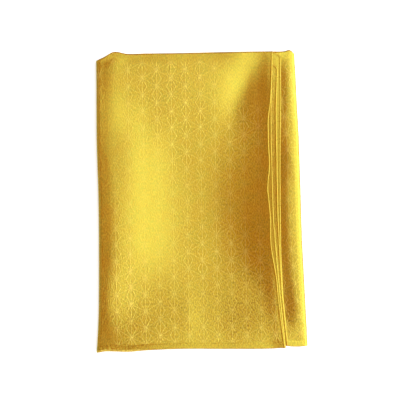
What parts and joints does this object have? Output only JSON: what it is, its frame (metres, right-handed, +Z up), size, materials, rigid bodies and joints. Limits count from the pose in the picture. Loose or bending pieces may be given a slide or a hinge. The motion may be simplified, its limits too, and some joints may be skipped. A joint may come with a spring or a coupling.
{
  "type": "furoshiki",
  "caption": "Square satin wrapping cloth, folded flat into a soft rectangular packet with a rolled fold at each side.",
  "frame": {"origin": "middle of the packet's box, on the flat underside that it rests on", "axes": "+X across the packet towards the broad right fold, +Y up the packet towards its folded upper edge, +Z up through the layers"},
  "size_m": [0.185, 0.264, 0.0127],
  "materials": {
    "gold_satin": "gold-yellow jacquard satin, soft sheen, hemp-leaf figure woven in the same colour"
  },
  "bodies": {
    "root": {"folded_cloth": "gold_satin"}
  },
  "joints": []
}
